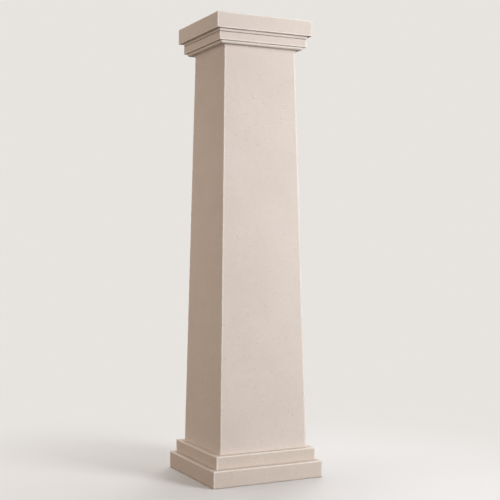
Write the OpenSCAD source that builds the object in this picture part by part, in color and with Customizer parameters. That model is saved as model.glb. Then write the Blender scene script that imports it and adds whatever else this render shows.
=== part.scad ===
// Square tapered doric column in pale cast stone: a two-step base, a plain
// shaft that narrows upwards, and a capital with mouldings mitred at the
// corners. The pieces stand on one another on flat beds. Units are
// millimetres, +Z is up, and the origin is the centre of the underside.

/* [Column] */
// Height from the ground to the top of the capital
column_h = 2438; // [1200:1:3600]
// How far each outer edge is eased: the upright corners and the top of the abacus
arris = 3; // [1:0.5:8]

/* [Shaft] */
// Width of the shaft where it stands on the base
shaft_foot_w = 502; // [300:1:800]
// Width of the shaft under the capital
shaft_head_w = 410; // [250:1:700]

/* [Base] */
// Height of the plinth
plinth_h = 89; // [30:1:200]
// How far the plinth stands out beyond the step
plinth_out = 27.5; // [10:0.5:80]
// Height of the step on the plinth
step_h = 68; // [30:1:200]
// How far the step stands out beyond the foot of the shaft
step_out = 36; // [10:0.5:80]
// Radius of the worn top edges of the plinth and the step
ledge_r = 6; // [1:0.5:10]

/* [Capital] */
// Height of the abacus, the square slab on top
abacus_h = 82.5; // [30:0.5:160]
// How far the abacus stands out beyond the fascia
abacus_out = 22.5; // [5:0.5:60]
// Height of the fascia, the flat band under the abacus
fascia_h = 57; // [25:1:120]
// How far the fascia stands out beyond the bed moulding
fascia_out = 14.5; // [5:0.5:40]
// Depth from the abacus down to the middle of the fascia's groove
groove_drop = 14; // [6:0.5:20]
// Width of the groove, which has a half-round bottom
groove_w = 4; // [2:0.5:8]
// Depth of the groove from the fascia's face
groove_d = 3; // [2:0.5:8]
// Height of the fillet, the narrow upright band at the top of the bed moulding
bed_fillet_h = 3; // [2:0.5:20]
// Radius of the ovolo, the quarter round under the fillet
bed_r = 12; // [6:1:40]
// Width of the bed moulding's flat underside, from the ovolo in to the cove
bed_soffit = 10; // [2:1:50]
// Radius of the cove, the hollow quarter round that runs down into the shaft
cove_r = 12; // [6:1:40]

/* [Hidden] */
$fn = 48;

// Widths of the members, built out from the shaft
step_w = shaft_foot_w + 2 * step_out;
plinth_w = step_w + 2 * plinth_out;
cove_w = shaft_head_w + 2 * cove_r;
bed_w = cove_w + 2 * (bed_soffit + bed_r);
fascia_w = bed_w + 2 * fascia_out;
abacus_w = fascia_w + 2 * abacus_out;

// Heights of the flat beds between the pieces, and of the capital's members
shaft_z = plinth_h + step_h;
abacus_z = column_h - abacus_h;
fascia_z = abacus_z - fascia_h;
bed_h = bed_fillet_h + bed_r;
bed_z = fascia_z - bed_h;
capital_z = bed_z - cove_r;
shaft_h = capital_z - shaft_z;

// Colour of the cast stone
stone = [0.86, 0.81, 0.76];

// Flat outline w wide and h high on the x axis, with its upper edges rounded
// by top_r and its lower edges by foot_r
module member_outline(w, h, top_r, foot_r) {
    translate([-w / 2, foot_r]) square([w, h - top_r - foot_r]);
    translate([-w / 2 + top_r, foot_r]) square([w - 2 * top_r, h - foot_r]);
    translate([-w / 2 + foot_r, 0]) square([w - 2 * foot_r, h - top_r]);
    for (side = [-1, 1]) {
        if (top_r > 0) translate([side * (w / 2 - top_r), h - top_r]) circle(top_r);
        if (foot_r > 0) translate([side * (w / 2 - foot_r), foot_r]) circle(foot_r);
    }
}

// Solid with the outline in its children on all four sides, mitred at the
// corners: the outline run along both level axes, kept where the two meet
module mitre_round(reach) {
    intersection() {
        rotate([90, 0, 0]) linear_extrude(height = reach, center = true) children();
        rotate([90, 0, 90]) linear_extrude(height = reach, center = true) children();
    }
}

// Upright square post w wide and h high with its four arrises rounded
module eased_post(w, h) {
    linear_extrude(height = h) {
        square([w, w - 2 * arris], center = true);
        square([w - 2 * arris, w], center = true);
        for (x = [-1, 1], y = [-1, 1])
            translate([x * (w / 2 - arris), y * (w / 2 - arris)]) circle(arris);
    }
}

// One square member of the base or the capital, standing at height z
module member(z, w, h, top_r = 0, foot_r = 0) {
    translate([0, 0, z]) intersection() {
        mitre_round(2 * w) member_outline(w, h, top_r, foot_r);
        eased_post(w, h);
    }
}

// Hollow quarter round on all four sides, from the width w at height z out to
// a width that is larger by twice its radius
module cove(z, w) {
    translate([0, 0, z]) mitre_round(2 * w) difference() {
        translate([-w / 2 - cove_r, 0]) square([w + 2 * cove_r, cove_r]);
        for (side = [-1, 1]) translate([side * (w / 2 + cove_r), 0]) circle(cove_r);
    }
}

// Groove with a half-round bottom along all four sides of a square of width w
module groove(z, w) {
    bottom = w / 2 - groove_d + groove_w / 2;
    translate([0, 0, z]) for (turn = [0, 90], side = [-1, 1]) rotate([0, 0, turn]) {
        translate([0, side * bottom, 0]) rotate([0, 90, 0])
            cylinder(d = groove_w, h = 2 * w, center = true);
        translate([0, side * (bottom + w / 2), 0]) cube([2 * w, w, groove_w], center = true);
    }
}

// Base: the plinth and the step on it, cast as one
module base() {
    color(stone) union() {
        member(0, plinth_w, plinth_h, top_r = ledge_r);
        member(plinth_h, step_w, step_h, top_r = ledge_r);
    }
}

// Square post of the shaft's height that narrows evenly from foot_w to head_w
module tapered_post(foot_w, head_w) {
    mitre_round(2 * max(foot_w, head_w))
        polygon([[-foot_w / 2, 0], [foot_w / 2, 0], [head_w / 2, shaft_h], [-head_w / 2, shaft_h]]);
}

// Shaft: plain and tapered, its arrises cut off by a wider post turned by 45 degrees
module shaft() {
    foot_across = sqrt(2) * (shaft_foot_w - arris);
    head_across = sqrt(2) * (shaft_head_w - arris);
    color(stone) translate([0, 0, shaft_z]) intersection() {
        tapered_post(shaft_foot_w, shaft_head_w);
        rotate([0, 0, 45]) tapered_post(foot_across, head_across);
    }
}

// Capital: the cove, the bed moulding, the grooved fascia and the abacus, cast as one
module capital() {
    color(stone) difference() {
        union() {
            cove(capital_z, shaft_head_w);
            member(bed_z, bed_w, bed_h, foot_r = bed_r);
            member(fascia_z, fascia_w, fascia_h);
            member(abacus_z, abacus_w, abacus_h, top_r = arris);
        }
        groove(abacus_z - groove_drop, fascia_w);
    }
}

base();
shaft();
capital();
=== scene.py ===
import math

import bpy
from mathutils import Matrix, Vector


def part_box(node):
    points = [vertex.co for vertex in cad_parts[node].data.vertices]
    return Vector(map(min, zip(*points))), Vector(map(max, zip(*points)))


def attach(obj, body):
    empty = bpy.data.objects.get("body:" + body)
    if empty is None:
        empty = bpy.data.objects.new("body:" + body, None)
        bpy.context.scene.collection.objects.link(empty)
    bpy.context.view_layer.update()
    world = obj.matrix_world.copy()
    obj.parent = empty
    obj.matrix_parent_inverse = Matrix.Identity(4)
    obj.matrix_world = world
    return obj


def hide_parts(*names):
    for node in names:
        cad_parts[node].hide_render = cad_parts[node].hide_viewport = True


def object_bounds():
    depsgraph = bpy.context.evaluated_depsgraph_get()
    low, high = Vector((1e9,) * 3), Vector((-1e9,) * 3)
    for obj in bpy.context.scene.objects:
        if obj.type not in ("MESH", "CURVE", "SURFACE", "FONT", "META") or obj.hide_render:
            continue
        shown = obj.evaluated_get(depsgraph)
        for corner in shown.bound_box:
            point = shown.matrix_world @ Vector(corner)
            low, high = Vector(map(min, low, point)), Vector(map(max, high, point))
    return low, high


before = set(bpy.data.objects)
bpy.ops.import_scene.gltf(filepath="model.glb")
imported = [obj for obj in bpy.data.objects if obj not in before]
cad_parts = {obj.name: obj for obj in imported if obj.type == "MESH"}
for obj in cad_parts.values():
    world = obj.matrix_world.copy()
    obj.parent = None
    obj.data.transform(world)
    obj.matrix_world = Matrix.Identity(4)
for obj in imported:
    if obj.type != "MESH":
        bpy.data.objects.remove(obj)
cad_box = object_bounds()

# The column's three castings are remade here as finely divided stone: the same outlines with
# their edges eased, faces a little uneven, small air holes, and a cast stone finish with painted
# highlights along its edges and painted shade in its recesses.
# Sizes are in metres, and every outline is built out from the boxes of the frame's nodes.
MM = 0.001

# ---------------------------------------------------------------- sizes of the mouldings

PLINTH_HEIGHT = 89 * MM
PLINTH_OUT = 27.5 * MM
LEDGE_ROUND = 6 * MM

ABACUS_HEIGHT = 82.5 * MM
ABACUS_OUT = 22.5 * MM
FASCIA_HEIGHT = 57 * MM
FASCIA_OUT = 14.5 * MM
GROOVE_DROP = 14 * MM
GROOVE_RADIUS = 2 * MM
GROOVE_DEPTH = 3 * MM
OVOLO_RADIUS = 12 * MM
BED_SOFFIT = 10 * MM
COVE_RADIUS = 12 * MM

ARRIS_ROUND = 3 * MM
CRISP_ROUND = 1.2 * MM
GROOVE_LIP = 0.8 * MM

# How finely the outlines are divided
FINE_CELL = 3.2 * MM
SHAFT_CELL = 7 * MM
TOP_CELL = 12 * MM
BED_CELL = 40 * MM
CORNER_CELLS = 6

# How far from an edge its wear and its painted highlight reach
RUBBED_AND_HIGHLIT_REACH = 13 * MM

# How much each place is painted darker as shade, from 0 to 1
SOFFIT_PAINTED_SHADE = 0.55
FOOT_PAINTED_SHADE = 0.8
LEDGE_PAINTED_SHADE = 0.5
SHAFT_FOOT_PAINTED_SHADE = 0.2
GROOVE_PAINTED_SHADE = 1.0

# Width of the strips over which the painted shade comes and goes
FOOT_RIM = 6 * MM
COVE_RIM = 2 * MM
OVOLO_RIM = 6 * MM
FASCIA_RIM = 1.5 * MM


# ---------------------------------------------------------------- node helpers

class Nodes:
    """Adds nodes to one tree. A socket's value is a number, a colour, or another node's output."""

    def __init__(self, tree):
        self.tree = tree

    def add(self, kind, values=None, **settings):
        """A new node. Values go to its sockets, and settings to its own properties."""
        node = self.tree.nodes.new(kind)
        for name, setting in settings.items():
            setattr(node, name, setting)
        for name, value in (values or {}).items():
            self.put(node.inputs[name], value)
        return node

    def put(self, socket, value):
        """Links the socket to another node's output, or gives it a plain value."""
        if isinstance(value, bpy.types.NodeSocket):
            self.tree.links.new(value, socket)
        else:
            socket.default_value = value

    def result_of(self, kind, operation, values):
        """The first output of a node of that kind, with its first inputs set in order."""
        node = self.add(kind, operation=operation)
        for socket, value in zip(node.inputs, values):
            self.put(socket, value)
        return node.outputs[0]

    def math(self, operation, *values):
        """A sum on numbers."""
        return self.result_of("ShaderNodeMath", operation, values)

    def whole(self, operation, *values):
        """A sum on whole numbers."""
        return self.result_of("FunctionNodeIntegerMath", operation, values)

    def vector(self, operation, *values):
        """A sum on vectors."""
        return self.result_of("ShaderNodeVectorMath", operation, values)

    def scaled(self, vector, factor):
        """The vector made longer or shorter."""
        values = {"Vector": vector, "Scale": factor}
        return self.add("ShaderNodeVectorMath", values, operation="SCALE").outputs[0]

    def xyz(self, x, y, z):
        """The three numbers as one vector."""
        return self.add("ShaderNodeCombineXYZ", {"X": x, "Y": y, "Z": z}).outputs[0]

    def split(self, vector):
        """The vector's three numbers."""
        return self.add("ShaderNodeSeparateXYZ", {"Vector": vector}).outputs

    def ramp(self, value, low, high, at_low=0.0, at_high=1.0):
        """The value eased from at_low to at_high as it goes from low to high."""
        node = self.add("ShaderNodeMapRange", interpolation_type="SMOOTHSTEP")
        for socket, number in zip(node.inputs, (value, low, high, at_low, at_high)):
            self.put(socket, number)
        return node.outputs[0]

    def noise(self, vector, size, detail=2.0, roughness=0.5):
        """Noise from 0 to 1 whose patches are about size across."""
        values = {"Vector": vector, "Scale": self.math("DIVIDE", 1.0, size)}
        values.update({"Detail": detail, "Roughness": roughness})
        return self.add("ShaderNodeTexNoise", values).outputs[0]

    def cells(self, vector, size):
        """A Voronoi node whose cells are about size across."""
        values = {"Vector": vector, "Scale": self.math("DIVIDE", 1.0, size)}
        return self.add("ShaderNodeTexVoronoi", values)

    def blend(self, factor, a, b):
        """Colour a turned towards colour b by the factor."""
        node = self.add("ShaderNodeMix", data_type="RGBA")
        for index, value in ((0, factor), (6, a), (7, b)):
            self.put(node.inputs[index], value)
        return node.outputs[2]


def new_group(name, kind, inputs, outputs):
    """A node group with those sockets, the Nodes that fill it, its inputs and its output node."""
    tree = bpy.data.node_groups.new(name, kind)
    for label, socket_type, default in inputs:
        socket = tree.interface.new_socket(label, in_out="INPUT", socket_type=socket_type)
        if default is not None:
            socket.default_value = default
    for label, socket_type in outputs:
        tree.interface.new_socket(label, in_out="OUTPUT", socket_type=socket_type)
    given = tree.nodes.new("NodeGroupInput").outputs
    result = tree.nodes.new("NodeGroupOutput")
    return tree, Nodes(tree), given, result


# ---------------------------------------------------------------- outlines
# An outline is half of a piece's side view, from the middle of its underside, out and up, to the
# middle of its top. Each point has a half width, a height, a relief and a painted shade. Relief is
# 0 on the flat beds that touch another piece, and painted shade is 1 where the stone is painted
# darkest, as in a groove.

def arc(x, z, radius, start, end, steps):
    """Points round a centre. Angles are in degrees, 0 points outwards and 90 up."""
    points = []
    for step in range(steps + 1):
        angle = math.radians(start + (end - start) * step / steps)
        points.append((x + radius * math.cos(angle), z + radius * math.sin(angle)))
    return points


def eased(x, z, radius, steps=4):
    """The upper outer edge of a member, rounded."""
    return arc(x - radius, z - radius, radius, 0, 90, steps)


def eased_foot(x, z, radius):
    """The lower outer edge of a member, rounded."""
    return arc(x - radius, z + radius, radius, -90, 0, steps=3)


class Outline:
    """Collects an outline's points, dividing straight runs into cells."""

    def __init__(self, cell):
        self.cell = cell
        self.points = []
        self.edges = []

    def to(self, x, z, relief=1.0, painted_shade=0.0, cell=None):
        """A straight run to that point. The painted shade changes evenly along it."""
        if self.points:
            x0, z0, _, painted_shade0 = self.points[-1]
            count = max(1, math.ceil(math.hypot(x - x0, z - z0) / (cell or self.cell)))
            for step in range(1, count):
                t = step / count
                between = (x0 + (x - x0) * t, z0 + (z - z0) * t)
                self.points.append((*between, relief, painted_shade0 + (painted_shade - painted_shade0) * t))
        self.points.append((x, z, relief, painted_shade))

    def round_edge(self, points):
        """Adds the arc of an outer edge, which is rubbed and painted paler as a highlight."""
        self.to(*points[0])
        for x, z in points[1:]:
            self.points.append((x, z, 1.0, 0.0))
        self.edges.append(points[len(points) // 2])

    def rubbed_and_highlit(self, x, z):
        """How near the point is to an outer edge: 1 on it, 0 beyond the reach of the wear and
        painted highlight.
        """
        near = min((math.hypot(x - ex, z - ez) for ex, ez in self.edges), default=RUBBED_AND_HIGHLIT_REACH)
        return max(0.0, 1.0 - near / RUBBED_AND_HIGHLIT_REACH)

    def mesh(self, name):
        """The outline as a row of joined points that carry their rubbed edge with its painted
        highlight, their relief and their painted shade.
        """
        mesh = bpy.data.meshes.new(name)
        count = len(self.points)
        edges = [(start, start + 1) for start in range(count - 1)]
        mesh.from_pydata([(x, 0, z) for x, z, _, _ in self.points], edges, [])
        columns = {
            "rubbed_and_highlit": [self.rubbed_and_highlit(x, z) for x, z, _, _ in self.points],
            "relief": [relief for _, _, relief, _ in self.points],
            "painted_shade": [painted_shade for _, _, _, painted_shade in self.points],
        }
        for label, values in columns.items():
            mesh.attributes.new(label, "FLOAT", "POINT").data.foreach_set("value", values)
        return mesh


def base_outline(cell):
    """The plinth and the step on it."""
    low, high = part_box("base")
    plinth = high.x
    step = plinth - PLINTH_OUT
    ledge = low.z + PLINTH_HEIGHT
    shaft_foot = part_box("shaft")[1].x
    outline = Outline(cell)
    outline.to(0, low.z, relief=0)
    # The foot, the ledges and the shaft's foot are painted darker, as shade
    outline.to(plinth - FOOT_RIM, low.z, relief=0, painted_shade=FOOT_PAINTED_SHADE, cell=BED_CELL)
    for x, z in eased_foot(plinth, low.z, CRISP_ROUND):
        outline.to(x, z, painted_shade=FOOT_PAINTED_SHADE)
    outline.to(plinth, low.z + 2 * cell)
    outline.round_edge(eased(plinth, ledge, LEDGE_ROUND))
    outline.to(step, ledge, painted_shade=LEDGE_PAINTED_SHADE)
    outline.to(step, ledge + 2 * cell)
    outline.round_edge(eased(step, high.z, LEDGE_ROUND))
    outline.to(shaft_foot, high.z, painted_shade=SHAFT_FOOT_PAINTED_SHADE)
    outline.to(shaft_foot - cell, high.z, relief=0)
    outline.to(0, high.z, relief=0, cell=BED_CELL)
    return outline


def neck_half_width():
    """Half the shaft's width at its head, where the cove of the capital meets it."""
    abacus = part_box("capital")[1].x
    return abacus - ABACUS_OUT - FASCIA_OUT - OVOLO_RADIUS - BED_SOFFIT - COVE_RADIUS


def shaft_outline(cell):
    """The plain taper, from the box's foot to the width that the capital's mouldings leave."""
    low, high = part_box("shaft")
    head = neck_half_width()
    outline = Outline(cell)
    outline.to(0, low.z, relief=0)
    outline.to(high.x, low.z, relief=0, cell=BED_CELL)
    outline.to(head, high.z)
    outline.to(0, high.z, relief=0, cell=BED_CELL)
    return outline


def capital_outline(cell):
    """The cove, the bed moulding, the grooved fascia and the abacus."""
    low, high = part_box("capital")
    abacus = high.x
    fascia = abacus - ABACUS_OUT
    bed = fascia - FASCIA_OUT
    neck = neck_half_width()
    abacus_foot = high.z - ABACUS_HEIGHT
    fascia_foot = abacus_foot - FASCIA_HEIGHT
    bed_foot = low.z + COVE_RADIUS
    groove = abacus_foot - GROOVE_DROP
    groove_centre = fascia - GROOVE_DEPTH + GROOVE_RADIUS
    outline = Outline(cell)
    outline.to(0, low.z, relief=0)
    outline.to(neck, low.z, relief=0, cell=BED_CELL)
    for x, z in arc(neck + COVE_RADIUS, low.z, COVE_RADIUS, 180, 90, steps=9)[1:]:
        outline.to(x, z)
    # The cove's top, the ovolo's underside, the soffits and the groove are painted darker, as shade
    outline.to(neck + COVE_RADIUS + COVE_RIM, bed_foot, painted_shade=SOFFIT_PAINTED_SHADE)
    ovolo = arc(bed - OVOLO_RADIUS, bed_foot + OVOLO_RADIUS, OVOLO_RADIUS, -90, 0, steps=10)
    for x, z in ovolo:
        outline.to(x, z, painted_shade=SOFFIT_PAINTED_SHADE * max(0.0, 1 - (z - bed_foot) / OVOLO_RIM))
    outline.round_edge(eased(bed, fascia_foot, CRISP_ROUND, steps=2))
    outline.to(bed - 2 * CRISP_ROUND, fascia_foot, painted_shade=SOFFIT_PAINTED_SHADE)
    outline.to(fascia - 2 * CRISP_ROUND, fascia_foot, painted_shade=SOFFIT_PAINTED_SHADE)
    outline.round_edge(eased_foot(fascia, fascia_foot, CRISP_ROUND))
    lip = fascia - GROOVE_LIP
    lip_rise = GROOVE_RADIUS + GROOVE_LIP
    for x, z in arc(lip, groove - lip_rise, GROOVE_LIP, 0, 90, steps=2):
        outline.to(x, z)
    for x, z in arc(groove_centre, groove, GROOVE_RADIUS, -90, -270, steps=6):
        outline.to(x, z, painted_shade=GROOVE_PAINTED_SHADE)
    for x, z in arc(lip, groove + lip_rise, GROOVE_LIP, -90, 0, steps=2):
        outline.to(x, z)
    outline.to(fascia, abacus_foot - FASCIA_RIM)
    outline.to(fascia, abacus_foot, painted_shade=SOFFIT_PAINTED_SHADE)
    outline.to(abacus - 2 * CRISP_ROUND, abacus_foot, painted_shade=SOFFIT_PAINTED_SHADE)
    outline.round_edge(eased_foot(abacus, abacus_foot, CRISP_ROUND))
    outline.round_edge(eased(abacus, high.z, ARRIS_ROUND))
    outline.to(0, high.z, cell=TOP_CELL)
    return outline


# ---------------------------------------------------------------- the solid castings

# Points nearer than this become one
MERGE_REACH = 0.01 * MM
# The angle past which an edge isn't shaded smooth
CREASE_ANGLE = math.radians(40)
# Share of the hole cells that have only the smallest hole, and the radius of the smallest and
# the largest hole in a cell of size 1
SMALLEST_HOLES = 0.45
HOLE_REACH = (0.02, 0.26)
# Size of the patches in which edges are worn, and the noise levels between which wear sets in
WEAR_SIZE = 20 * MM
WEAR_LEVELS = (0.35, 0.75)
# How level a face is, from 0 upright to 1 flat, where the upright corners' wear and painted
# highlight start to fade and where they are gone
LEVEL_FADE = (0.5, 0.8)


def sample(nodes, geometry, value, index, data_type):
    """The value at that point of the outline."""
    node = nodes.add("GeometryNodeSampleIndex", data_type=data_type, domain="POINT")
    for label, given in (("Geometry", geometry), ("Value", value), ("Index", index)):
        nodes.put(node.inputs[label], given)
    return node.outputs[0]


def named(nodes, name):
    """A number that each point carries."""
    values = {"Name": name}
    return nodes.add("GeometryNodeInputNamedAttribute", values, data_type="FLOAT").outputs[0]


def stored(nodes, geometry, name, value):
    """The geometry, with that number stored on its points."""
    node = nodes.add("GeometryNodeStoreNamedAttribute", data_type="FLOAT", domain="POINT")
    for label, given in (("Geometry", geometry), ("Name", name), ("Value", value)):
        nodes.put(node.inputs[label], given)
    return node.outputs[0]


def square_casting_tree():
    """Runs an outline round a square with eased upright corners, and works the stone's relief
    into its faces: a slow unevenness, a fine tooth, small air holes and rubbed edges."""
    tree, nodes, given, result = new_group(
        "square casting",
        "GeometryNodeTree",
        [
            ("Outline", "NodeSocketGeometry", None),
            ("Side Cells", "NodeSocketInt", 100),
            ("Corner Cells", "NodeSocketInt", 6),
            ("Corner Radius", "NodeSocketFloat", 0.003),
            ("Uneven Depth", "NodeSocketFloat", 0.0),
            ("Uneven Size", "NodeSocketFloat", 0.1),
            ("Tooth Depth", "NodeSocketFloat", 0.0),
            ("Tooth Size", "NodeSocketFloat", 0.01),
            ("Hole Depth", "NodeSocketFloat", 0.0),
            ("Hole Spacing", "NodeSocketFloat", 0.03),
            ("Rubbed Depth", "NodeSocketFloat", 0.0),
            ("Rubbed And Highlit Reach", "NodeSocketFloat", 0.01),
            ("Seed", "NodeSocketFloat", 0.0),
            ("Stone", "NodeSocketMaterial", None),
        ],
        [("Casting", "NodeSocketGeometry")],
    )
    tree.is_modifier = True
    outline = given["Outline"]
    size = nodes.add("GeometryNodeAttributeDomainSize", {"Geometry": outline})
    rows = size.outputs["Point Count"]
    quarter = nodes.whole("ADD", given["Side Cells"], given["Corner Cells"])
    columns = nodes.whole("MULTIPLY_ADD", quarter, 4, 1)
    counts = {"Vertices X": columns, "Vertices Y": rows}
    grid = nodes.add("GeometryNodeMeshGrid", counts).outputs["Mesh"]

    # Where a grid point goes. Each quarter turn starts with the cells of a corner's arc, and
    # then runs along one side
    index = nodes.add("GeometryNodeInputIndex").outputs[0]
    column = nodes.whole("DIVIDE_FLOOR", index, rows)
    row = nodes.whole("MODULO", index, rows)
    turn = nodes.math("MULTIPLY", nodes.whole("DIVIDE_FLOOR", column, quarter), math.pi / 2)
    count = nodes.whole("MODULO", column, quarter)
    bend = nodes.math("DIVIDE", count, given["Corner Cells"])
    bend = nodes.math("MULTIPLY", nodes.math("MINIMUM", bend, 1.0), math.pi / 2)
    along = nodes.whole("MAXIMUM", nodes.whole("SUBTRACT", count, given["Corner Cells"]), 0)
    along = nodes.math("DIVIDE", along, given["Side Cells"])
    side = nodes.xyz(nodes.math("MULTIPLY_ADD", along, -2.0, 1.0), 1.0, 0.0)
    outward = nodes.xyz(nodes.math("COSINE", bend), nodes.math("SINE", bend), 0.0)
    drawn = nodes.add("GeometryNodeInputPosition").outputs[0]
    point = sample(nodes, outline, drawn, row, "FLOAT_VECTOR")
    half_width, _, height = nodes.split(point)
    radius = nodes.math("MINIMUM", given["Corner Radius"], half_width)
    straight = nodes.math("SUBTRACT", half_width, radius)
    place = nodes.vector("ADD", nodes.scaled(side, straight), nodes.scaled(outward, radius))
    values = {"Vector": place, "Angle": turn}
    turned = nodes.add("ShaderNodeVectorRotate", values, rotation_type="Z_AXIS").outputs[0]
    position = nodes.vector("ADD", turned, nodes.xyz(0.0, 0.0, height))

    # What the outline says of each point, and how near it is to an upright corner
    from_corner = nodes.math("SUBTRACT", 1.0, nodes.math("ABSOLUTE", nodes.split(side)[0]))
    from_corner = nodes.math("MULTIPLY", from_corner, straight)
    near_corner = nodes.ramp(from_corner, 0.0, given["Rubbed And Highlit Reach"], 1.0, 0.0)
    made = grid
    for label in ("rubbed_and_highlit", "relief", "painted_shade"):
        value = sample(nodes, outline, named(nodes, label), row, "FLOAT")
        made = stored(nodes, made, label, value)
    made = stored(nodes, made, "corner", near_corner)
    values = {"Geometry": made, "Position": position}
    made = nodes.add("GeometryNodeSetPosition", values).outputs[0]
    values = {"Geometry": made, "Distance": MERGE_REACH}
    made = nodes.add("GeometryNodeMergeByDistance", values).outputs[0]
    normal = nodes.add("GeometryNodeInputNormal").outputs[0]
    level = nodes.math("ABSOLUTE", nodes.split(normal)[2])
    upright = nodes.ramp(level, *LEVEL_FADE, 1.0, 0.0)
    # Upright corners are rubbed and get the painted highlight too
    corner = nodes.math("MULTIPLY", named(nodes, "corner"), upright)
    made = stored(nodes, made, "rubbed_and_highlit", nodes.math("MAXIMUM", named(nodes, "rubbed_and_highlit"), corner))

    # The relief is cut inwards, so that the casting keeps within its outline
    here = nodes.add("GeometryNodeInputPosition").outputs[0]
    here = nodes.vector("ADD", here, nodes.xyz(given["Seed"], given["Seed"], given["Seed"]))
    uneven = nodes.noise(here, given["Uneven Size"], detail=3.0)
    uneven = nodes.math("MULTIPLY", uneven, given["Uneven Depth"])
    tooth = nodes.noise(here, given["Tooth Size"], detail=1.0)
    tooth = nodes.math("MULTIPLY", tooth, given["Tooth Depth"])
    hole = nodes.cells(here, given["Hole Spacing"])
    chance = nodes.split(hole.outputs["Color"])[0]
    reach = nodes.ramp(chance, SMALLEST_HOLES, 1.0, *HOLE_REACH)
    hole = nodes.ramp(hole.outputs["Distance"], 0.0, reach, 1.0, 0.0)
    hole = nodes.math("MULTIPLY", hole, given["Hole Depth"])
    wear = nodes.noise(here, WEAR_SIZE, detail=3.0, roughness=0.6)
    wear = nodes.ramp(wear, *WEAR_LEVELS)
    wear = nodes.math("MULTIPLY", named(nodes, "rubbed_and_highlit"), wear)
    wear = nodes.math("MULTIPLY", wear, given["Rubbed Depth"])
    depth = nodes.math("ADD", nodes.math("ADD", uneven, tooth), nodes.math("ADD", hole, wear))
    depth = nodes.math("MULTIPLY", depth, named(nodes, "relief"))
    offset = nodes.scaled(normal, nodes.math("MULTIPLY", depth, -1.0))
    values = {"Geometry": made, "Offset": offset}
    made = nodes.add("GeometryNodeSetPosition", values).outputs[0]
    made = nodes.add("GeometryNodeRealizeInstances", {"Geometry": made}).outputs[0]
    values = {"Geometry": made, "Material": given["Stone"]}
    made = nodes.add("GeometryNodeSetMaterial", values).outputs[0]
    nodes.put(result.inputs["Casting"], made)
    return tree


def casting(name, node, outline, tree, sizes):
    """Makes one piece of the column: the outline run round by the tree, as a plain mesh."""
    piece = bpy.data.objects.new(name, outline.mesh(name + " outline"))
    bpy.context.scene.collection.objects.link(piece)
    modifier = piece.modifiers.new("square casting", "NODES")
    modifier.node_group = tree
    for socket in tree.interface.items_tree:
        if socket.in_out == "INPUT" and socket.name in sizes:
            modifier[socket.identifier] = sizes[socket.name]
    depsgraph = bpy.context.evaluated_depsgraph_get()
    mesh = bpy.data.meshes.new_from_object(piece.evaluated_get(depsgraph), depsgraph=depsgraph)
    mesh.name = name
    piece.modifiers.clear()
    piece.data = mesh
    mesh.shade_smooth()
    mesh.set_sharp_from_angle(angle=CREASE_ANGLE)
    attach(piece, "root")
    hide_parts(node)


# ---------------------------------------------------------------- the stone's finish

# Sizes of what the stone shows at its surface
MOTTLE_SIZE = 220 * MM
DARK_GRAIN = 3.5 * MM
LIGHT_GRAIN = 2.8 * MM
SAND_SIZE = 1.6 * MM
SCUFF_SIZE = 17 * MM
LARGE_HOLE_SPACING = 24 * MM
SMALL_HOLE_SPACING = 8 * MM
# The close mottling's size and strength, as shares of those of the whole
CLOSE_MOTTLE_SIZE = 0.16
CLOSE_MOTTLE_SHARE = 0.4
# The noise level above which a scuff or a dent shows, and how soon past it the mark is full
SCUFF_LEVEL = 0.665
SCUFF_EDGE = 0.04
# How far the dents' pattern lies from that of the scuffs, so that a darker dent, painted shade,
# lies beside each pale scuff, a painted highlight
SCUFF_APART = (4 * MM, 0.0, 5 * MM)
# Size of the rough stretches that break the painted highlight along a rubbed edge, and of the
# patches where the painted shade is thinner
ROUGH_SIZE = 12 * MM
THIN_SHADE_SIZE = 50 * MM

# How strongly each mark colours the stone, and the tone that it brings, from the first laid on
# to the last
LAYERS = (
    ("mottle", 0.34, "deep"),
    ("sand", 0.2, "deep"),
    ("light", 0.38, "pale"),
    ("dark", 0.22, "grain"),
    # air holes are painted darker, as the shade inside them
    ("shaded_holes", 0.3, "grain"),
    # pale scuffs are painted highlights
    ("highlit_scuffs", 0.2, "pale"),
    # the darker dents beside them are painted shade; their hollows are also bumped
    ("shaded_dents", 0.16, "grain"),
    # the pale line along rubbed edges is a painted highlight
    ("rubbed_and_highlit", 0.8, "pale"),
    # painted shade: the stone darkened where shade falls in recesses
    ("painted_shade", 0.75, "painted_shade"),
)
# Roughness of the stone, what the sand adds to it, and what rubbing takes off
STONE_ROUGHNESS = 0.78
SAND_ROUGHNESS = 0.12
RUBBED_SMOOTHNESS = 0.1
STONE_SPECULAR = 0.3
# How high each mark stands, in millimetres
HEIGHTS = (("light", 0.06), ("shaded_dents", -0.24), ("large", -0.35), ("small", -0.25))
SAND_HEIGHT = 0.14


def mask_group(name, sizes):
    """A shader group that takes a place and those sizes, and puts out a mask from 0 to 1."""
    inputs = [("Vector", "NodeSocketVector", None)]
    inputs += [(label, "NodeSocketFloat", size) for label, size in sizes.items()]
    outputs = [("Mask", "NodeSocketFloat")]
    tree, nodes, given, result = new_group(name, "ShaderNodeTree", inputs, outputs)
    return tree, nodes, given, result.inputs["Mask"]


def mottle_group():
    """Slow changes of tone, as in a mix that dried unevenly."""
    tree, nodes, given, result = mask_group("stone mottle", {"Size": 0.2})
    broad = nodes.noise(given["Vector"], given["Size"], detail=4.0, roughness=0.55)
    close_size = nodes.math("MULTIPLY", given["Size"], CLOSE_MOTTLE_SIZE)
    close = nodes.noise(given["Vector"], close_size, detail=3.0, roughness=0.6)
    close = nodes.math("MULTIPLY", close, CLOSE_MOTTLE_SHARE)
    both = nodes.math("MULTIPLY_ADD", broad, 1 - CLOSE_MOTTLE_SHARE, close)
    nodes.put(result, nodes.ramp(both, 0.3, 0.7))
    return tree


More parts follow.
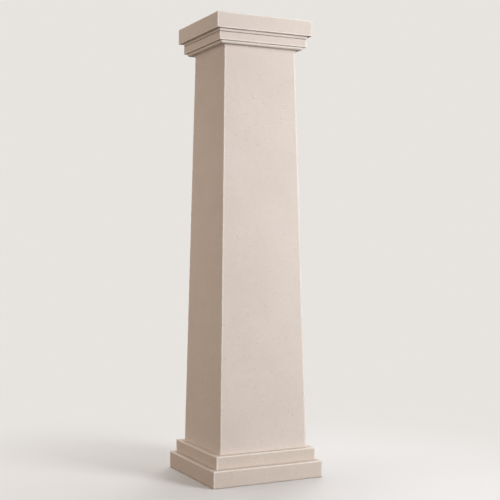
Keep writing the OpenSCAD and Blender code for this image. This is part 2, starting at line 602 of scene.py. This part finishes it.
def speck_group():
    """Scattered grains of the aggregate that show at the surface."""
    tree, nodes, given, result = mask_group("stone specks", {"Size": 0.003, "Share": 0.1})
    grain = nodes.cells(given["Vector"], given["Size"])
    chosen = nodes.math("LESS_THAN", nodes.split(grain.outputs["Color"])[0], given["Share"])
    body = nodes.ramp(grain.outputs["Distance"], 0.25, 0.5, 1.0, 0.0)
    nodes.put(result, nodes.math("MULTIPLY", chosen, body))
    return tree


def pore_group():
    """Small round air holes of mixed sizes. The mask is also how deep each hole is."""
    tree, nodes, given, result = mask_group("stone pores", {"Spacing": 0.01, "Share": 0.3})
    wander_size = nodes.math("MULTIPLY", given["Spacing"], 0.4)
    wander = nodes.noise(given["Vector"], wander_size, detail=1.0)
    wander = nodes.math("MULTIPLY", nodes.math("SUBTRACT", wander, 0.5), given["Spacing"])
    pushed = nodes.vector("ADD", given["Vector"], nodes.xyz(wander, wander, wander))
    hole = nodes.cells(pushed, given["Spacing"])
    chance = nodes.split(hole.outputs["Color"])[1]
    closed = nodes.math("SUBTRACT", 1.0, given["Share"])
    radius = nodes.ramp(chance, closed, 1.0, 0.01, 0.3)
    nodes.put(result, nodes.ramp(hole.outputs["Distance"], 0.0, radius, 1.0, 0.0))
    return tree


def scuff_group():
    """Sparse small marks of uneven shape, laid as pale scuffs painted as lit, and a little apart as
    darker dents painted as shaded.
    """
    tree, nodes, given, result = mask_group("stone scuffs", {"Size": 0.02, "Level": 0.7})
    lumps = nodes.noise(given["Vector"], given["Size"], detail=1.5)
    full = nodes.math("ADD", given["Level"], SCUFF_EDGE)
    nodes.put(result, nodes.ramp(lumps, given["Level"], full))
    return tree


def rubbed_highlight_group():
    """The painted highlight: a pale line along edges that are rubbed, broken up where the edge is
    rough.
    """
    tree, nodes, given, result = mask_group("rubbed and highlit edges", {"Breaks": 0.3})
    near = nodes.add("ShaderNodeAttribute", attribute_name="rubbed_and_highlit").outputs["Fac"]
    rough = nodes.noise(given["Vector"], ROUGH_SIZE, detail=3.0, roughness=0.6)
    rough = nodes.ramp(rough, 0.3, 0.7)
    kept = nodes.math("SUBTRACT", 1.0, nodes.math("MULTIPLY", rough, given["Breaks"]))
    nodes.put(result, nodes.math("MULTIPLY", nodes.ramp(near, 0.35, 0.95), kept))
    return tree


def painted_shade_group():
    """Painted shade in grooves, under ledges and in inner corners, thinner in patches."""
    tree, nodes, given, result = mask_group("painted recess shade", {"Patches": 0.3})
    laid_shade = nodes.add("ShaderNodeAttribute", attribute_name="painted_shade").outputs["Fac"]
    thin_patches = nodes.noise(given["Vector"], THIN_SHADE_SIZE, detail=3.0, roughness=0.6)
    thin_patches = nodes.ramp(thin_patches, 0.35, 0.65)
    kept = nodes.math("SUBTRACT", 1.0, nodes.math("MULTIPLY", thin_patches, given["Patches"]))
    nodes.put(result, nodes.math("MULTIPLY", laid_shade, kept))
    return tree


def shared_groups():
    """The groups that all three castings' materials place, built once."""
    return {
        "mottle": mottle_group(),
        "specks": speck_group(),
        "pores": pore_group(),
        "highlit_scuffs": scuff_group(),
        "rubbed_and_highlit": rubbed_highlight_group(),
        "painted_shade": painted_shade_group(),
    }


def placed(nodes, tree, where, **values):
    """The mask of a shared group at that place, with its own values."""
    node = nodes.add("ShaderNodeGroup", node_tree=tree)
    nodes.put(node.inputs["Vector"], where)
    for name, value in values.items():
        node.inputs[name].default_value = value
    return node.outputs[0]


def cast_stone(name, groups, tones, shift):
    """Cream cast stone for one casting. The shift keeps one casting's pattern off the next."""
    material = bpy.data.materials.new(name)
    material.use_nodes = True
    nodes = Nodes(material.node_tree)
    stone = material.node_tree.nodes["Principled BSDF"]
    coordinates = nodes.add("ShaderNodeTexCoord").outputs["Object"]
    where = nodes.add("ShaderNodeMapping", {"Vector": coordinates, "Location": shift}).outputs[0]
    aside = nodes.vector("ADD", where, SCUFF_APART)
    highlit_scuffs, pores, specks = groups["highlit_scuffs"], groups["pores"], groups["specks"]
    sand = nodes.noise(where, SAND_SIZE, detail=2.0, roughness=0.7)
    large = placed(nodes, pores, where, Spacing=LARGE_HOLE_SPACING, Share=0.3)
    small = placed(nodes, pores, where, Spacing=SMALL_HOLE_SPACING, Share=0.35)
    masks = {
        "mottle": placed(nodes, groups["mottle"], where, Size=MOTTLE_SIZE),
        "sand": nodes.ramp(sand, 0.3, 0.7),
        "light": placed(nodes, specks, where, Size=LIGHT_GRAIN, Share=0.16),
        "dark": placed(nodes, specks, where, Size=DARK_GRAIN, Share=0.12),
        "large": large,
        "small": small,
        "shaded_holes": nodes.math("MAXIMUM", large, nodes.math("MULTIPLY", small, 0.7)),
        "highlit_scuffs": placed(nodes, highlit_scuffs, where, Size=SCUFF_SIZE, Level=SCUFF_LEVEL),
        "shaded_dents": placed(nodes, highlit_scuffs, aside, Size=SCUFF_SIZE, Level=SCUFF_LEVEL),
        "rubbed_and_highlit": placed(nodes, groups["rubbed_and_highlit"], where, Breaks=0.35),
        "painted_shade": placed(nodes, groups["painted_shade"], where, Patches=0.3),
    }

    colour = tones["body"]
    for mark, strength, tone in LAYERS:
        share = nodes.math("MULTIPLY", masks[mark], strength)
        colour = nodes.blend(share, colour, tones[tone])
    nodes.put(stone.inputs["Base Color"], colour)

    roughness = nodes.math("MULTIPLY_ADD", sand, SAND_ROUGHNESS, STONE_ROUGHNESS)
    smoothed = nodes.math("MULTIPLY", masks["rubbed_and_highlit"], RUBBED_SMOOTHNESS)
    roughness = nodes.math("SUBTRACT", roughness, smoothed)
    nodes.put(stone.inputs["Roughness"], roughness)
    stone.inputs["Specular IOR Level"].default_value = STONE_SPECULAR

    height = nodes.math("MULTIPLY", sand, SAND_HEIGHT)
    for mark, rise in HEIGHTS:
        height = nodes.math("MULTIPLY_ADD", masks[mark], rise, height)
    # The bump's distance is a millimetre, because the heights are in millimetres
    bump = nodes.add("ShaderNodeBump", {"Strength": 0.8, "Distance": MM, "Height": height})
    nodes.put(stone.inputs["Normal"], bump.outputs[0])
    return material


# ---------------------------------------------------------------- studio

BACKDROP = (0.80, 0.775, 0.745, 1.0)
FLOOR_PALE = (0.79, 0.785, 0.78, 1.0)
# The floor's colour as light meets it on its way to the column
FLOOR_BOUNCE = (0.12, 0.105, 0.09, 1.0)
FLOOR_RADIUS = 60
FLOOR_DROP = 0.5 * MM
# How far out the floor starts to turn into the backdrop, and where it has
FLOOR_FADE = (0.5, 2.4)

# Light from all round: its colour, its strength at the horizon, the share of it that is left
# high up, and the upward slope at which that share is reached
FILL_LIGHT = (1.0, 0.85, 0.72, 1.0)
FILL_STRENGTH = 0.6
ZENITH_SHARE = 0.3
ZENITH_SLOPE = 0.75

# Name, place, target, size, power and colour of each lamp
SOFTBOXES = (
    ("key softbox", (2.6, -4.3, 2.25), (0, 0, 1.3), (1.8, 1.4), 228, (0.945, 0.965, 1.0)),
    ("side softbox", (-3.5, 1.25, 1.65), (0, 0, 1.3), (2.0, 2.0), 36.5, (1.0, 0.85, 0.72)),
    ("back softbox", (3.6, 4.8, 2.4), (0, 0, 1.2), (3.2, 2.6), 165, (1.0, 0.95, 0.9)),
    ("top softbox", (0.3, 1.0, 5.4), (0, 0, 1.2), (2.4, 2.4), 110, (0.86, 0.93, 1.0)),
)

# Angles in degrees, the lens and the sensor in millimetres, and the place in column heights:
# to the right, back from the column along the view, and up
CAMERA_TURN = 27.57
CAMERA_TILT = 0.25
CAMERA_LENS = 76
CAMERA_SENSOR = 36
CAMERA_SHIFT = -0.1
CAMERA_RIGHT = 0.1249
CAMERA_BACK = 2.3666
CAMERA_UP = 0.5077


def seen_directly(nodes):
    """1 for what the camera, a mirror or glass sees, 0 for light on its way to the column."""
    path = nodes.add("ShaderNodeLightPath").outputs
    seen = nodes.math("MAXIMUM", path["Is Camera Ray"], path["Is Glossy Ray"])
    return nodes.math("MAXIMUM", seen, path["Is Transmission Ray"])


def studio_floor():
    """A wide pale floor that runs into the backdrop's colour away from the column."""
    bpy.ops.mesh.primitive_circle_add(
        vertices=96, radius=FLOOR_RADIUS, fill_type="NGON", location=(0, 0, -FLOOR_DROP)
    )
    floor = bpy.context.object
    floor.name = "studio_floor"
    material = bpy.data.materials.new("pale floor")
    material.use_nodes = True
    tree = material.node_tree
    nodes = Nodes(tree)
    tree.nodes.remove(tree.nodes["Principled BSDF"])
    output = tree.nodes["Material Output"]
    seen = seen_directly(nodes)
    paint = nodes.blend(seen, FLOOR_BOUNCE, FLOOR_PALE)
    matt = nodes.add("ShaderNodeBsdfDiffuse", {"Color": paint}).outputs[0]
    glow = nodes.add("ShaderNodeEmission", {"Color": BACKDROP, "Strength": 1.0}).outputs[0]
    flat = nodes.add("ShaderNodeTexCoord").outputs["Object"]
    away = nodes.add("ShaderNodeVectorMath", {0: flat}, operation="LENGTH").outputs["Value"]
    far = nodes.math("MULTIPLY", nodes.ramp(away, *FLOOR_FADE), seen)
    mixed = nodes.add("ShaderNodeMixShader", {0: far, 1: matt, 2: glow}).outputs[0]
    nodes.put(output.inputs["Surface"], mixed)
    floor.data.materials.append(material)


def studio_world():
    """Soft light from all round, weaker from above, and the plain backdrop where it is seen."""
    world = bpy.data.worlds.new("studio")
    bpy.context.scene.world = world
    world.use_nodes = True
    tree = world.node_tree
    nodes = Nodes(tree)
    seen = seen_directly(nodes)
    light = tree.nodes["Background"]
    nodes.put(light.inputs["Color"], nodes.blend(seen, FILL_LIGHT, BACKDROP))
    upward = nodes.split(nodes.add("ShaderNodeTexCoord").outputs["Generated"])[2]
    overhead = FILL_STRENGTH * ZENITH_SHARE
    fill = nodes.ramp(upward, 0.0, ZENITH_SLOPE, FILL_STRENGTH, overhead)
    unlit = nodes.math("MULTIPLY", fill, nodes.math("SUBTRACT", 1.0, seen))
    nodes.put(light.inputs["Strength"], nodes.math("ADD", seen, unlit))


def softbox(name, place, target, size, power, colour):
    """A rectangular area lamp turned towards its target."""
    lamp = bpy.data.lights.new(name, "AREA")
    lamp.shape = "RECTANGLE"
    lamp.size, lamp.size_y = size
    lamp.energy = power
    lamp.color = colour
    holder = bpy.data.objects.new(name, lamp)
    holder.location = place
    holder.rotation_euler = (Vector(target) - Vector(place)).to_track_quat("-Z", "Y").to_euler()
    bpy.context.scene.collection.objects.link(holder)


def studio_camera():
    """A long lens at chest height, to the left of the front face."""
    turn, tilt = math.radians(CAMERA_TURN), math.radians(CAMERA_TILT)
    forward = Vector((math.sin(turn), math.cos(turn), 0))
    right = Vector((math.cos(turn), -math.sin(turn), 0))
    place = CAMERA_RIGHT * right - CAMERA_BACK * forward + Vector((0, 0, CAMERA_UP))
    camera = bpy.data.objects.new("camera", bpy.data.cameras.new("camera"))
    camera.data.sensor_width = CAMERA_SENSOR
    camera.data.lens = CAMERA_LENS
    camera.data.shift_x = CAMERA_SHIFT
    camera.location = place * cad_box[1].z
    camera.rotation_euler = (math.pi / 2 - tilt, 0, -turn)
    bpy.context.scene.collection.objects.link(camera)
    bpy.context.scene.camera = camera


# ---------------------------------------------------------------- the column

def colour(red, green, blue):
    """A colour given as it is seen, from 0 to 255, made linear."""
    return tuple((part / 255) ** 2.2 for part in (red, green, blue)) + (1.0,)


STONE_TONES = {
    "body": colour(225, 214, 206),
    "deep": colour(207, 194, 183),
    "pale": colour(248, 241, 233),
    # the grain tone is the colour of dark grains, and is also laid in the holes and dents as
    # painted shade
    "grain": colour(156, 140, 125),
    # the tone of the painted shade in recesses
    "painted_shade": colour(118, 103, 89),
}
# The base is a little deeper and warmer in tone than the shaft and the capital
BASE_TONES = dict(STONE_TONES, body=colour(223, 210, 199), deep=colour(204, 189, 176))

# Name, CAD node, outline, cell size, tones, and the shift of the pattern
CASTINGS = (
    ("base_casting", "base", base_outline, FINE_CELL, BASE_TONES, (0.0, 0.0, 0.0)),
    ("shaft_casting", "shaft", shaft_outline, SHAFT_CELL, STONE_TONES, (3.1, 1.7, 0.4)),
    ("capital_casting", "capital", capital_outline, FINE_CELL, STONE_TONES, (1.3, 4.2, 2.6)),
)


def build_column():
    """Makes the three castings, each with its own pattern in the stone."""
    groups = shared_groups()
    tree = square_casting_tree()
    relief = {
        "Corner Cells": CORNER_CELLS,
        "Corner Radius": ARRIS_ROUND,
        "Uneven Depth": 0.9 * MM,
        "Uneven Size": 160 * MM,
        "Tooth Depth": 0.25 * MM,
        "Tooth Size": 14 * MM,
        "Hole Depth": 0.5 * MM,
        "Hole Spacing": 50 * MM,
        "Rubbed Depth": 1.0 * MM,
        "Rubbed And Highlit Reach": RUBBED_AND_HIGHLIT_REACH,
    }
    for name, node, outline, cell, tones, shift in CASTINGS:
        stone = cast_stone(node + " stone", groups, tones, shift)
        sizes = dict(relief, Stone=stone, Seed=shift[0])
        sizes["Side Cells"] = round(2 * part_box(node)[1].x / cell)
        casting(name, node, outline(cell), tree, sizes)


bpy.context.scene.view_settings.view_transform = "Standard"
studio_camera()
studio_world()
studio_floor()
for lamp_values in SOFTBOXES:
    softbox(*lamp_values)
build_column()
